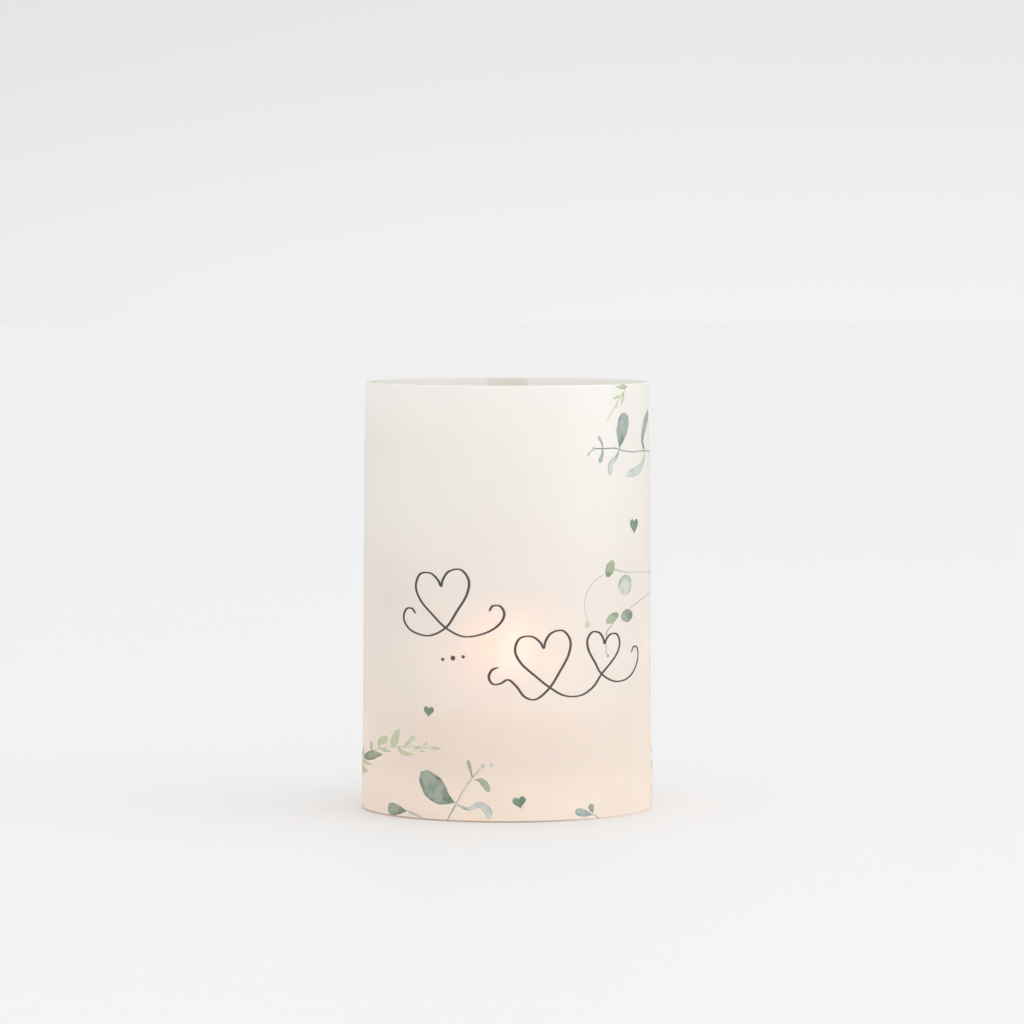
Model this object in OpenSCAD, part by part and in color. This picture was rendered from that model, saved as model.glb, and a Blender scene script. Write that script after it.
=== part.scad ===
// Candle lantern for a wedding table: a sleeve of printed vellum stands round
// a heavy glass holder, and a large tealight burns inside the glass.
// Millimetres, +Z up. The origin is on the table under the middle of the glass,
// the printed front faces -Y and the seam of the sleeve lies at +Y.

/* [Sleeve] */
// Length of the vellum sheet before it is rolled
sheet_length = 297; // [290:0.5:305]
// Height of the sheet, which is the height of the sleeve
sheet_height = 136; // [100:1:160]
// Thickness of the vellum
sheet_thickness = 0.2; // [0.15:0.05:0.3]
// How far the sheet laps over itself at the foot
lap_foot = 6; // [4:0.5:10]
// How far the sheet laps over itself at the top
lap_top = 13; // [4:0.5:16]
// Width of the adhesive strip in the lap
tape_width = 4; // [2:0.5:6]
// Thickness of the adhesive strip
tape_thickness = 0.1; // [0.05:0.01:0.15]

/* [Glass holder] */
// Height of the glass
glass_height = 78; // [60:1:95]
// Outer radius of the glass at its rim
glass_rim_r = 33; // [32:0.5:36]
// Outer radius of the glass at its heel
glass_heel_r = 31; // [30.5:0.5:33]
// Thickness of the wall at the rim
glass_wall = 2.4; // [2:0.1:3]
// Thickness of the solid base
glass_base = 12; // [8:0.5:16]

/* [Tealight] */
// Radius of the clear cup
cup_r = 28; // [26:0.1:28.2]
// Height of the clear cup
cup_height = 24; // [18:0.5:26]
// Thickness of the cup's wall
cup_wall = 0.4; // [0.3:0.05:0.6]
// Depth of the wax in the cup
wax_depth = 21; // [14:0.5:22]
// Radius of the cotton wick
wick_r = 1.1; // [0.8:0.1:1.4]
// How far the wick stands out of the wax
wick_exposed = 8; // [5:0.5:10]

/* [Hidden] */
$fn = 96;
eps = 0.01;

// Sleeve: a shell that runs slightly conical, because the lap is wider at the top
foot_r = (sheet_length - lap_foot) / (2 * PI);
top_r = (sheet_length - lap_top) / (2 * PI);
lap_angle = (lap_foot + lap_top) / 2 / foot_r * 180 / PI;
tape_angle = tape_width / foot_r * 180 / PI;
lap_start = 90 - lap_angle / 2;
step_angle = 1;
lap_lift = sheet_thickness + tape_thickness;

// Glass: rounded heel, hollow under the base, rounded rim and inner corner
heel_round = 3;
foot_ring = 5;
hollow_depth = 1.2;
bore_heel_r = cup_r + 0.6;
bore_round = 1.4;
rim_round = glass_wall / 2;

// Tealight: stands on the floor of the glass
cup_floor = glass_base;
cup_corner = 1.6;
cup_bead_r = 0.55;
wax_gap = 0.02;
wax_floor = cup_floor + cup_wall + wax_gap;
wax_top = cup_floor + wax_depth;
pool_r = 20;
pool_depth = 0.9;
sustainer_r = 9;
sustainer_thickness = 0.3;
neck_r = 1.9;
neck_height = 5;
wick_floor = wax_floor + sustainer_thickness;
wick_bend_r = 9;
wick_straight = 2.5;
wick_bend = (wick_exposed - wick_straight) / wick_bend_r * 180 / PI;

// Points of an arc about [x, y], from angle a0 to a1
function arc(x, y, r, a0, a1, steps = 8) =
    [for (i = [0 : steps]) let (a = a0 + (a1 - a0) * i / steps) [x + r * cos(a), y + r * sin(a)]];

// Part of the conical shell between two angles, moved out by lift
module sheet_arc(from, to, lift = 0, thickness = sheet_thickness) {
    inner = lift - thickness / 2;
    outer = lift + thickness / 2;
    rotate([0, 0, from])
        rotate_extrude(angle = to - from, $fn = 180)
            polygon([
                [foot_r + inner, 0], [foot_r + outer, 0],
                [top_r + outer, sheet_height], [top_r + inner, sheet_height]
            ]);
}

// The sheet goes once round until it meets its own first edge. There it steps out
// over that edge, and the rest of it lies on the outside as the lap.
module paper_sleeve() {
    color([0.96, 0.94, 0.91, 0.8])
        union() {
            sheet_arc(0, 360);
            sheet_arc(lap_start - step_angle, lap_start, lift = lap_lift / 2, thickness = lap_lift);
            sheet_arc(lap_start - step_angle, lap_start + lap_angle, lift = lap_lift);
        }
}

// Double-sided adhesive strip that fills the lap
module seam_tape() {
    lift = sheet_thickness / 2 + tape_thickness / 2;
    color([0.92, 0.92, 0.88, 0.5])
        sheet_arc(90 - tape_angle / 2, 90 + tape_angle / 2, lift = lift, thickness = tape_thickness - eps);
}

// Pressed glass tumbler with a thick base
module glass_holder() {
    rim_centre_r = glass_rim_r - rim_round;
    outline = concat(
        [[0, hollow_depth], [glass_heel_r - heel_round - foot_ring - 3, hollow_depth]],
        [[glass_heel_r - heel_round - foot_ring, 0]],
        arc(glass_heel_r - heel_round, heel_round, heel_round, -90, 0),
        arc(rim_centre_r, glass_height - rim_round, rim_round, 0, 180),
        arc(bore_heel_r - bore_round, glass_base + bore_round, bore_round, 0, -90),
        [[0, glass_base]]
    );
    color([0.86, 0.91, 0.92, 0.35])
        rotate_extrude() polygon(outline);
}

// Clear moulded cup with a small bead round its rim
module tealight_cup() {
    inner_corner = cup_corner - cup_wall;
    bead_z = cup_floor + cup_height - cup_bead_r;
    shell = concat(
        [[0, 0]],
        arc(cup_r - cup_bead_r - cup_corner, cup_corner, cup_corner, -90, 0),
        [[cup_r - cup_bead_r, cup_height - cup_bead_r]],
        [[cup_r - cup_bead_r - cup_wall, cup_height - cup_bead_r]],
        arc(cup_r - cup_bead_r - cup_corner, cup_corner, inner_corner, 0, -90),
        [[0, cup_wall]]
    );
    color([0.9, 0.94, 0.95, 0.4])
        union() {
            translate([0, 0, cup_floor]) rotate_extrude() polygon(shell);
            translate([0, 0, bead_z]) rotate_extrude() translate([cup_r - cup_bead_r, 0]) circle(r = cup_bead_r, $fn = 24);
        }
}

// Paraffin wax poured round the sustainer and the wick, with a shallow burn pool
module wax() {
    fill_r = cup_r - cup_bead_r - cup_wall - wax_gap;
    fill_corner = cup_corner - cup_wall;
    body = concat(
        [[0, wax_floor]],
        arc(fill_r - fill_corner, wax_floor + fill_corner, fill_corner, -90, 0),
        [[fill_r, wax_top], [pool_r, wax_top], [pool_r - 2, wax_top - pool_depth], [0, wax_top - pool_depth]]
    );
    color([0.97, 0.96, 0.92])
        difference() {
            rotate_extrude() polygon(body);
            sustainer_space();
            cylinder(h = wax_top + 1, r = wick_r + wax_gap);
        }
}

// Room that the sustainer takes in the wax
module sustainer_space() {
    translate([0, 0, wax_floor - 1]) cylinder(h = 1 + sustainer_thickness + wax_gap, r = sustainer_r + wax_gap);
    translate([0, 0, wax_floor]) cylinder(h = neck_height + wax_gap, r = neck_r + wax_gap, $fn = 48);
}

// Braided cotton, straight in the wax and curled over above it
module wick() {
    straight_top = wax_top + wick_straight - pool_depth;
    color([0.86, 0.83, 0.76]) {
        translate([0, 0, wick_floor]) cylinder(h = straight_top - wick_floor, r = wick_r, $fn = 32);
        translate([wick_bend_r, 0, straight_top])
            rotate([90, 0, 180])
                rotate_extrude(angle = wick_bend, $fn = 96) translate([wick_bend_r, 0]) circle(r = wick_r, $fn = 32);
    }
}

// Tin-plated disc with a crimped neck that holds the wick upright
module wick_sustainer() {
    color([0.72, 0.72, 0.74])
        difference() {
            union() {
                translate([0, 0, wax_floor]) cylinder(h = sustainer_thickness, r = sustainer_r);
                translate([0, 0, wax_floor]) cylinder(h = neck_height, r = neck_r, $fn = 48);
            }
            translate([0, 0, wick_floor]) cylinder(h = neck_height, r = wick_r + wax_gap, $fn = 48);
        }
}

paper_sleeve();
seam_tape();
glass_holder();
tealight_cup();
wax();
wick();
wick_sustainer();
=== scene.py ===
import logging
import math
from dataclasses import dataclass, field
from enum import Enum
from typing import Any, Optional, Sequence, Union

import bmesh
import bpy
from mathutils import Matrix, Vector


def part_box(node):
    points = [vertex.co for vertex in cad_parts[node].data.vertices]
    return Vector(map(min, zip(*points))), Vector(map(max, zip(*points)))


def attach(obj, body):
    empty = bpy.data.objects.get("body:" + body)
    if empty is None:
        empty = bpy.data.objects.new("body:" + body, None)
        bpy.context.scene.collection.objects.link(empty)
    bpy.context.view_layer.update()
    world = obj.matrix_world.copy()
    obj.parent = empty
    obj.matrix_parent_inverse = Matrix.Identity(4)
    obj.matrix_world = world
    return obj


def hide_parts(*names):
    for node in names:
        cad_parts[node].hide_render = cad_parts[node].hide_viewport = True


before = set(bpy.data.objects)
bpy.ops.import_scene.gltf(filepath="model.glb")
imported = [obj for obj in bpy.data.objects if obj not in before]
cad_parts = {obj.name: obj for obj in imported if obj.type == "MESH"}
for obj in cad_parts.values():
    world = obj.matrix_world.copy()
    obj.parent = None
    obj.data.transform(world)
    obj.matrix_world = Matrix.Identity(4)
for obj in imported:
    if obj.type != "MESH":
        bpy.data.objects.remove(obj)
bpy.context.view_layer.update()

MM = 0.001
TURN = 2 * math.pi
LOG = logging.getLogger("candle_lantern")

Socket = bpy.types.NodeSocket
Feed = Union[Socket, float, int, bool, str, tuple, bpy.types.Material]
Point2 = tuple[float, float]
Colour = tuple[float, float, float]
BLACK: Colour = (0.0, 0.0, 0.0)
SOCKETS = {
    float: "NodeSocketFloat", int: "NodeSocketInt", Vector: "NodeSocketVector",
    bpy.types.Material: "NodeSocketMaterial", bpy.types.Mesh: "NodeSocketGeometry",
}


# ---------------------------------------------------------------------------
# Helpers for node trees
# ---------------------------------------------------------------------------

class Graph:
    """Adds nodes to one node tree and links them."""

    def __init__(self, tree: bpy.types.NodeTree) -> None:
        """Starts on a tree.

        Args:
            tree: the tree that the nodes go into.
        """
        self.tree = tree

    def feed(self, socket: Socket, value: Feed) -> None:
        """Links a socket to another one, or sets its own value.

        Args:
            socket: the input to feed.
            value: an output socket, or a plain value.
        """
        if isinstance(value, bpy.types.NodeSocket):
            self.tree.links.new(value, socket)
        elif isinstance(value, tuple) and socket.type == "RGBA" and len(value) == 3:
            socket.default_value = (*value, 1.0)
        else:
            socket.default_value = value

    def node(self, kind: str, feeds: Optional[dict[Any, Feed]] = None, **props: Any) -> bpy.types.Node:
        """Adds a node.

        Args:
            kind: the node's type name.
            feeds: values or sockets for its inputs, by name or number.
            props: settings of the node itself.

        Returns:
            The new node.
        """
        made = self.tree.nodes.new(kind)
        for name, value in props.items():
            setattr(made, name, value)
        for key, value in (feeds or {}).items():
            self.feed(made.inputs[key], value)
        return made

    def value(self, kind: str, feeds: Optional[dict[Any, Feed]] = None, **props: Any) -> Socket:
        """Adds a node and returns its first output."""
        return self.node(kind, feeds, **props).outputs[0]

    def math(self, operation: str, *values: Feed) -> Socket:
        """Adds a Math node and returns its result.

        Args:
            operation: the Math node's operation.
            values: its operands.

        Returns:
            The output socket.
        """
        return self.value("ShaderNodeMath", dict(enumerate(values)), operation=operation)

    def ramp(self, value: Feed, low: Feed, high: Feed, to_low: Feed = 0.0, to_high: Feed = 1.0,
             smooth: bool = True) -> Socket:
        """Maps a range of values onto another, and holds the ends.

        Args:
            value: what is mapped.
            low: start of the range.
            high: end of the range.
            to_low: result at the start.
            to_high: result at the end.
            smooth: True for an eased ramp, False for a straight one.

        Returns:
            The mapped value.
        """
        kind = "SMOOTHSTEP" if smooth else "LINEAR"
        feeds = {0: value, 1: low, 2: high, 3: to_low, 4: to_high}
        return self.value("ShaderNodeMapRange", feeds, interpolation_type=kind)

    def split(self, vector: Feed) -> tuple[Socket, Socket, Socket]:
        """Returns the three parts of a vector."""
        made = self.node("ShaderNodeSeparateXYZ", {0: vector})
        return made.outputs[0], made.outputs[1], made.outputs[2]

    def join(self, x: Feed, y: Feed, z: Feed) -> Socket:
        """Returns the vector of three values."""
        return self.value("ShaderNodeCombineXYZ", {0: x, 1: y, 2: z})

    def blend(self, share: Feed, first: Feed, second: Feed) -> Socket:
        """Mixes two colours.

        Args:
            share: how much of the second there is.
            first: colour at no share.
            second: colour at full share.

        Returns:
            The mixed colour.
        """
        feeds = {0: share, 6: first, 7: second}
        return self.node("ShaderNodeMix", feeds, data_type="RGBA").outputs[2]

    def noise(self, place: Feed, scale: Feed, detail: float) -> Socket:
        """Returns a soft noise from 0 to 1."""
        feeds = {"Vector": place, "Scale": scale, "Detail": detail}
        return self.node("ShaderNodeTexNoise", feeds).outputs["Fac"]

    def sockets(self, way: str, **kinds: type) -> None:
        """Gives a node group its inputs or outputs.

        Args:
            way: INPUT or OUTPUT.
            kinds: what each socket carries, by its name with _ for a space.
        """
        for name, kind in kinds.items():
            self.tree.interface.new_socket(name.replace("_", " "), in_out=way, socket_type=SOCKETS[kind])

    def scaled(self, colour: Feed, share: Feed) -> Socket:
        """Returns a colour times a share."""
        return self.value("ShaderNodeVectorMath", {0: colour, "Scale": share}, operation="SCALE")

    def principled(self, feeds: dict[Any, Feed]) -> Socket:
        """Returns a Principled shader."""
        return self.value("ShaderNodeBsdfPrincipled", feeds)

    def clear(self) -> Socket:
        """Returns the shader that lets all light straight through."""
        return self.value("ShaderNodeBsdfTransparent")

    def passing(self, colour: Colour, roughness: float, index: float) -> Socket:
        """Returns a shader that passes light forwards and blurs it."""
        feeds = {"Color": colour, "Roughness": roughness, "IOR": index}
        return self.value("ShaderNodeBsdfRefraction", feeds, distribution="BECKMANN")

    def mixed(self, share: Feed, first: Socket, second: Socket) -> Socket:
        """Mixes two shaders, with share as the part of the second."""
        return self.value("ShaderNodeMixShader", {0: share, 1: first, 2: second})

    def bumped(self, height: Socket, strength: float, depth: float) -> Socket:
        """Returns a normal that follows a height in metres of depth."""
        return self.value("ShaderNodeBump", {"Height": height, "Strength": strength, "Distance": depth})


class Recipe(Graph):
    """A geometry tree with named inputs, which is run on a piece and leaves a plain mesh."""

    def __init__(self, name: str, **inputs: type) -> None:
        """Makes the tree and its inputs.

        Args:
            name: the tree's name.
            inputs: each input's name, with _ for a space, and its type.
        """
        super().__init__(bpy.data.node_groups.new(name, "GeometryNodeTree"))
        self.sockets("INPUT", Geometry=bpy.types.Mesh, **inputs)
        self.sockets("OUTPUT", Geometry=bpy.types.Mesh)
        self.given = self.node("NodeGroupInput")

    def input(self, name: str) -> Socket:
        """Returns the socket that carries an input's value."""
        return self.given.outputs[name]

    def position(self) -> tuple[Socket, Socket, Socket]:
        """Returns the three parts of each point's place."""
        return self.split(self.value("GeometryNodeInputPosition"))

    def close(self, geometry: Socket, material: Socket) -> None:
        """Ends the tree: realises what is instanced and gives it its material.

        Args:
            geometry: the finished geometry.
            material: the input that carries the material.
        """
        real = self.value("GeometryNodeRealizeInstances", {0: geometry})
        smooth = self.value("GeometryNodeSetShadeSmooth", {0: real, 2: True})
        dressed = self.value("GeometryNodeSetMaterial", {"Geometry": smooth, "Material": material})
        self.node("NodeGroupOutput", {0: dressed})

    def run(self, piece: bpy.types.Object, **values: Any) -> None:
        """Puts the tree on a piece as a modifier and sets its inputs.

        Args:
            piece: the object that the tree works on.
            values: each input's value, with _ for a space in its name.
        """
        modifier = piece.modifiers.new(self.tree.name, "NODES")
        modifier.node_group = self.tree
        for item in self.tree.interface.items_tree:
            key = item.name.replace(" ", "_")
            if item.in_out == "INPUT" and key in values:
                modifier[item.identifier] = values[key]


def object_named(name: str, mesh: bpy.types.ID) -> bpy.types.Object:
    """Makes an object at the origin and links it into the scene.

    Args:
        name: the object's name.
        mesh: its mesh, curve or light.

    Returns:
        The new object.
    """
    made = bpy.data.objects.new(name, mesh)
    bpy.context.scene.collection.objects.link(made)
    return made


def baked(piece: bpy.types.Object) -> bpy.types.Object:
    """Turns a piece and its modifiers into a plain mesh of the same name.

    Args:
        piece: the object with its modifiers.

    Returns:
        A new object that holds the result. The old one is removed.
    """
    name = piece.name
    bpy.context.view_layer.update()
    graph = bpy.context.evaluated_depsgraph_get()
    mesh = bpy.data.meshes.new_from_object(piece.evaluated_get(graph), depsgraph=graph)
    bpy.data.objects.remove(piece)
    mesh.name = name
    return object_named(name, mesh)


def arc(centre: Point2, radius: float, start: float, end: float, steps: int = 10) -> list[Point2]:
    """Returns points along an arc.

    Args:
        centre: the arc's centre.
        radius: its radius.
        start: first angle, in degrees.
        end: last angle, in degrees.
        steps: how many straight pieces there are.

    Returns:
        The points, first to last.
    """
    angles = [math.radians(start + (end - start) * i / steps) for i in range(steps + 1)]
    return [(centre[0] + radius * math.cos(a), centre[1] + radius * math.sin(a)) for a in angles]


def between(first: Point2, last: Point2, steps: int = 12) -> list[Point2]:
    """Returns the points that cut a straight line into equal steps, without its ends."""
    return [(first[0] + (last[0] - first[0]) * i / steps, first[1] + (last[1] - first[1]) * i / steps)
            for i in range(1, steps)]


def about(corner: Point2, *steps: Point2) -> list[Point2]:
    """Returns the points that lie some millimetres out and up from a corner."""
    return [(corner[0] + out * MM, corner[1] + up * MM) for out, up in steps]


def revolved(name: str, outline: Sequence[Point2], material: bpy.types.Material, segments: int = 128,
             crease: float = 40.0) -> bpy.types.Object:
    """Turns an outline that starts and ends on the axis into a closed round piece.

    Args:
        name: the piece's name.
        outline: (radius, height) points in metres, from the lower pole round to the upper one.
        material: the piece's material.
        segments: how many steps go round.
        crease: edges sharper than this angle, in degrees, stay sharp.

    Returns:
        The new object.
    """
    form = bmesh.new()
    rings = []
    for radius, height in outline:
        if radius < 1e-7:
            rings.append([form.verts.new((0, 0, height))])
            continue
        angles = [TURN * i / segments for i in range(segments)]
        rings.append([form.verts.new((radius * math.cos(a), radius * math.sin(a), height)) for a in angles])
    for low, high in zip(rings, rings[1:]):
        for i in range(segments):
            j = (i + 1) % segments
            corners = [low[i % len(low)], low[j % len(low)], high[j % len(high)], high[i % len(high)]]
            unique = list(dict.fromkeys(corners))
            if len(unique) > 2:
                form.faces.new(unique)
    bmesh.ops.recalc_face_normals(form, faces=form.faces)
    mesh = bpy.data.meshes.new(name)
    form.to_mesh(mesh)
    form.free()
    mesh.shade_smooth()
    mesh.set_sharp_from_angle(angle=math.radians(crease))
    mesh.materials.append(material)
    return object_named(name, mesh)


# ---------------------------------------------------------------------------
# Finishes
# ---------------------------------------------------------------------------

def mottle_group() -> bpy.types.NodeTree:
    """Builds the cloudy unevenness that most finishes share.

    Returns:
        A group that puts out Cloud, a slow mottling round 0, and Fibre, a fine grain from 0 to 1.
    """
    graph = Graph(bpy.data.node_groups.new("mottle", "ShaderNodeTree"))
    graph.sockets("INPUT", Vector=Vector, Cloud_Scale=float, Fibre_Scale=float)
    graph.sockets("OUTPUT", Cloud=float, Fibre=float)
    given = graph.node("NodeGroupInput").outputs
    cloud = graph.noise(given["Vector"], given["Cloud Scale"], 3.0)
    fibre = graph.noise(given["Vector"], given["Fibre Scale"], 2.0)
    graph.node("NodeGroupOutput", {"Cloud": graph.math("SUBTRACT", cloud, 0.5), "Fibre": fibre})
    return graph.tree


MOTTLE = mottle_group()


def mottled(graph: Graph, place: Feed, cloud_scale: float = 60.0,
            fibre_scale: float = 1400.0) -> tuple[Socket, Socket]:
    """Places the mottle group in a material.

    Args:
        graph: the material's graph.
        place: coordinates of the pattern.
        cloud_scale: fineness of the slow mottling.
        fibre_scale: fineness of the grain.

    Returns:
        The group's Cloud and Fibre outputs.
    """
    feeds = {"Vector": place, "Cloud Scale": cloud_scale, "Fibre Scale": fibre_scale}
    made = graph.node("ShaderNodeGroup", feeds, node_tree=MOTTLE)
    return made.outputs["Cloud"], made.outputs["Fibre"]


@dataclass(frozen=True)
class Finish:
    """What every finish has: a name and the record's material slot that it belongs to."""

    name: str
    slot: str

    def surface(self, graph: Graph, place: Socket) -> Socket:
        """Builds the finish's shader.

        Args:
            graph: the material's graph.
            place: the Object coordinates.

        Returns:
            The shader.
        """
        raise NotImplementedError

    def material(self) -> bpy.types.Material:
        """Returns a new material with the finish's shader."""
        material = bpy.data.materials.new(self.name)
        material.use_nodes = True
        material.node_tree.nodes.clear()
        graph = Graph(material.node_tree)
        place = graph.node("ShaderNodeTexCoord").outputs["Object"]
        graph.node("ShaderNodeOutputMaterial", {"Surface": self.surface(graph, place)})
        return material


@dataclass(frozen=True)
class Vellum(Finish):
    """Translucent paper: it reflects a part of the light and passes the rest, most of it softened.

    through is the share that goes through, forward the share of that which keeps its way, and sheer
    the share that passes nearly unscattered. inner_shade is the painted shade of the inner face: how bright
    it is against the outer one. A painted shadow lies along the foot and fades towards the right, and a
    painted highlight runs along the top rim.
    """

    height: float = 0.136
    sheet: Colour = (0.945, 0.925, 0.892)
    passed: Colour = (0.955, 0.93, 0.89)
    rim_highlight: Colour = (1.0, 0.99, 0.97)
    foot_line: Colour = (0.05, 0.045, 0.04)
    through: float = 0.42
    forward: float = 0.6
    sheer: float = 0.09
    inner_shade: float = 0.75
    gloss: float = 0.22
    index: float = 1.5
    foot_shadow_top: float = 0.62 * MM
    line_under: float = 0.36 * MM
    shadow_fade_from: float = 5 * MM
    shadow_fade_to: float = 40 * MM

    def tone(self, graph: Graph, place: Socket, cloud: Socket) -> Socket:
        """Mixes the sheet's colour, with a painted highlight along the top rim, painted shade on the inner
        face and a painted shadow along the foot.

        Args:
            graph: the material's graph.
            place: the Object coordinates.
            cloud: the paper's slow mottling.

        Returns:
            The colour.
        """
        right, _, height = graph.split(place)
        tone = graph.scaled(self.sheet, graph.math("MULTIPLY_ADD", cloud, 0.05, 0.975))
        # Painted highlight: the colour turns paler in the last millimetre below the top rim.
        edge = graph.ramp(height, self.height - 0.9 * MM, self.height - 0.2 * MM, 0.0, 0.7)
        tone = graph.blend(edge, tone, self.rim_highlight)
        # Painted shade: the inner face is darker than the outer one by inner_shade.
        normal = graph.node("ShaderNodeNewGeometry").outputs["Normal"]
        outward = graph.node("ShaderNodeVectorMath", {0: normal, 1: place}, operation="DOT_PRODUCT")
        face = graph.ramp(outward.outputs["Value"], -0.02, 0.0, self.inner_shade, 1.0)
        # Painted shadow along the foot: dark in the lowest half millimetre, strongest at the left and fading
        # towards the right.
        foot = graph.ramp(height, self.foot_shadow_top, self.line_under)
        side = graph.ramp(right, self.shadow_fade_from, self.shadow_fade_to, 0.85, 0.25)
        return graph.blend(graph.math("MULTIPLY", foot, side), graph.scaled(tone, face), self.foot_line)

    def surface(self, graph: Graph, place: Socket) -> Socket:
        """Returns the shader, which scatters light once for each pass through the sheet."""
        cloud, fibre = mottled(graph, place)
        normal = graph.bumped(fibre, 0.12, 0.05 * MM)
        reflect = graph.principled({"Base Color": self.tone(graph, place, cloud),
                                    "Roughness": self.gloss, "IOR": self.index, "Normal": normal})
        soft = graph.value("ShaderNodeBsdfTranslucent", {"Color": self.passed, "Normal": normal})
        ahead = graph.passing(self.passed, 0.85, 1.6)
        sheet = graph.mixed(self.through, reflect, graph.mixed(self.forward, soft, ahead))
        sheet = graph.mixed(self.sheer, sheet, graph.passing(self.passed, self.gloss, self.index))
        inside = graph.node("ShaderNodeNewGeometry").outputs["Backfacing"]
        return graph.mixed(inside, sheet, graph.clear())


@dataclass(frozen=True)
class ClearGlass(Finish):
    """Polished pressed glass."""

    def surface(self, graph: Graph, place: Socket) -> Socket:
        """Returns the shader."""
        wave = graph.noise(place, 70.0, 1.0)
        return graph.principled({
            "Base Color": (0.985, 0.995, 0.99), "Roughness": 0.02, "IOR": 1.5,
            "Transmission Weight": 1.0, "Normal": graph.bumped(wave, 0.15, 0.4 * MM)})


@dataclass(frozen=True)
class ClearPlastic(Finish):
    """Thin moulded plastic: clear, glossy, faintly streaked."""

    def surface(self, graph: Graph, place: Socket) -> Socket:
        """Returns the shader."""
        cloud, fibre = mottled(graph, place, 120.0, 500.0)
        return graph.principled({
            "Base Color": (0.99, 0.99, 0.985), "Roughness": graph.math("MULTIPLY_ADD", fibre, 0.06, 0.02),
            "IOR": 1.58, "Transmission Weight": 1.0, "Normal": graph.bumped(cloud, 0.2, 0.1 * MM)})


@dataclass(frozen=True)
class Metal(Finish):
    """Thin stamped sheet metal with fine scratches."""

    colour: Colour = (0.66, 0.66, 0.68)
    roughness: float = 0.35

    def surface(self, graph: Graph, place: Socket) -> Socket:
        """Returns the shader."""
        stretched = graph.value("ShaderNodeMapping", {"Vector": place, "Scale": (1.0, 1.0, 14.0)})
        cloud, fibre = mottled(graph, stretched, 90.0, 700.0)
        worn = tuple(0.8 * part for part in self.colour)
        return graph.principled({
            "Base Color": graph.blend(graph.math("MULTIPLY_ADD", cloud, 0.8, 0.4), self.colour, worn),
            "Metallic": 1.0, "Roughness": graph.math("MULTIPLY_ADD", fibre, 0.25, self.roughness - 0.1),
            "Normal": graph.bumped(fibre, 0.25, 0.03 * MM)})


@dataclass(frozen=True)
class Wax(Finish):
    """White paraffin, which light soaks into, with a painted glow that is strongest under the flame."""

    colour: Colour = (0.93, 0.91, 0.86)
    lit: Colour = (1.0, 0.45, 0.12)
    foot: float = 2 * MM
    top: float = 33 * MM
    glow: float = 0.5

    def surface(self, graph: Graph, place: Socket) -> Socket:
        """Returns the shader."""
        # Painted glow: an emission that stands in for the flame's light in the wax, strongest at the top and
        # faint at the foot.
        near = graph.ramp(graph.split(place)[2], self.foot, self.top, 0.12, 1.0)
        cloud, _ = mottled(graph, place, 160.0, 900.0)
        return graph.principled({
            "Base Color": graph.scaled(self.colour, graph.math("MULTIPLY_ADD", cloud, 0.16, 0.95)),
            "Roughness": 0.38, "IOR": 1.44, "Subsurface Weight": 0.6,
            "Subsurface Radius": (4 * MM, 2.6 * MM, 1.6 * MM), "Subsurface Scale": 1.0,
            "Emission Color": graph.blend(near, BLACK, self.lit), "Emission Strength": self.glow,
            "Coat Weight": 0.15, "Coat Roughness": 0.25, "Normal": graph.bumped(cloud, 0.3, 0.25 * MM)})


@dataclass(frozen=True)
class LiquidWax(Finish):
    """Melted wax: clear, still and glossy."""

    def surface(self, graph: Graph, place: Socket) -> Socket:
        """Returns the shader."""
        return graph.principled({"Base Color": (0.99, 0.96, 0.88), "Roughness": 0.03, "IOR": 1.43,
                                 "Transmission Weight": 0.85})


@dataclass(frozen=True)
class Cotton(Finish):
    """Wick yarn, pale in the wax and charred towards the glowing tip."""

    char_from: float = 33 * MM
    char_to: float = 36 * MM
    ember_from: float = 40.5 * MM
    ember_to: float = 41.3 * MM
    char: Colour = (0.02, 0.016, 0.013)
    ember: Colour = (1.0, 0.22, 0.03)

    def surface(self, graph: Graph, place: Socket) -> Socket:
        """Returns the shader."""
        cloud, fibre = mottled(graph, place, 500.0, 5000.0)
        height = graph.split(place)[2]
        uneven = graph.math("MULTIPLY_ADD", cloud, 1.2 * MM, height)
        yarn = graph.blend(fibre, (0.78, 0.72, 0.6), (0.62, 0.55, 0.43))
        glow = graph.ramp(height, self.ember_from, self.ember_to)
        return graph.principled({
            "Base Color": graph.blend(graph.ramp(uneven, self.char_from, self.char_to), yarn, self.char),
            "Roughness": 0.9, "Emission Color": graph.blend(glow, BLACK, self.ember),
            "Emission Strength": 1.4, "Normal": graph.bumped(fibre, 0.6, 0.06 * MM)})


@dataclass(frozen=True)
class FlameGlow(Finish):
    """A layer of the flame: blue and thin at the foot, pale yellow in the body, orange at the tip.

    strength is how bright the layer is, and veil how much it lets through.
    """

    foot: float = 36 * MM
    tip: float = 67 * MM
    blue: Colour = (0.42, 0.55, 1.0)
    body: Colour = (1.0, 0.92, 0.72)
    orange: Colour = (1.0, 0.6, 0.2)
    strength: float = 1.8
    veil: float = 0.3

    def surface(self, graph: Graph, place: Socket) -> Socket:
        """Returns the shader."""
        height = graph.split(place)[2]
        span = self.tip - self.foot
        rise = graph.ramp(height, self.foot + 0.1 * span, self.foot + 0.4 * span)
        fade = graph.ramp(height, self.foot + 0.7 * span, self.tip)
        tone = graph.blend(fade, graph.blend(rise, self.blue, self.body), self.orange)
        light = graph.value("ShaderNodeEmission", {"Color": tone, "Strength": self.strength})
        thin = graph.math("MAXIMUM", graph.ramp(rise, 0.0, 1.0, 0.92, self.veil),
                          graph.ramp(fade, 0.0, 1.0, self.veil, 0.85))
        return graph.mixed(thin, light, graph.clear())


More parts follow.
